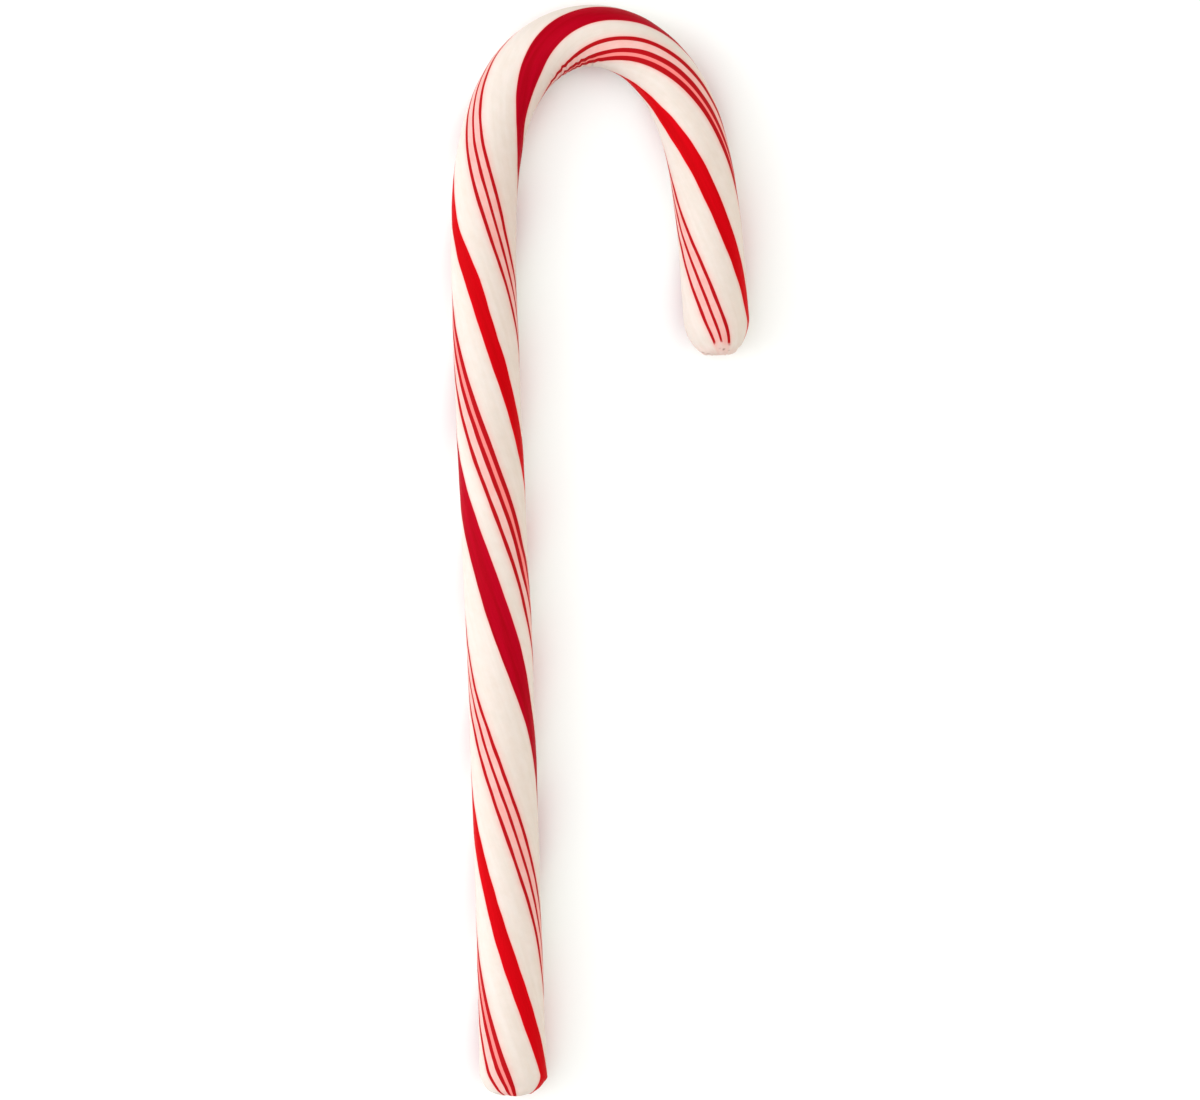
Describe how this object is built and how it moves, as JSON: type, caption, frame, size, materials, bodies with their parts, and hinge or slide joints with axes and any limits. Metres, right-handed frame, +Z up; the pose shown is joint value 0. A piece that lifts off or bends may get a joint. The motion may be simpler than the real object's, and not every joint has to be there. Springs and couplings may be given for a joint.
{
  "type": "candy cane",
  "caption": "Candy cane: a round rod of pulled sugar bent into a hook at one end, white with red stripes that wind around it, lying on its side.",
  "frame": {"origin": "middle of the cane's box, on the surface it lies on", "axes": "+Y along the straight stem towards the hook, +X from the stem towards the hook's tip, +Z up, square to the hook"},
  "size_m": [0.0382, 0.1392, 0.0083],
  "materials": {
    "sugar": "pulled sugar, warm white with a soft satin gloss; red stripes, broad and fine in turn, wind around the rod, with pink between the fine ones"
  },
  "bodies": {
    "root": {"cane": "sugar"}
  },
  "joints": []
}
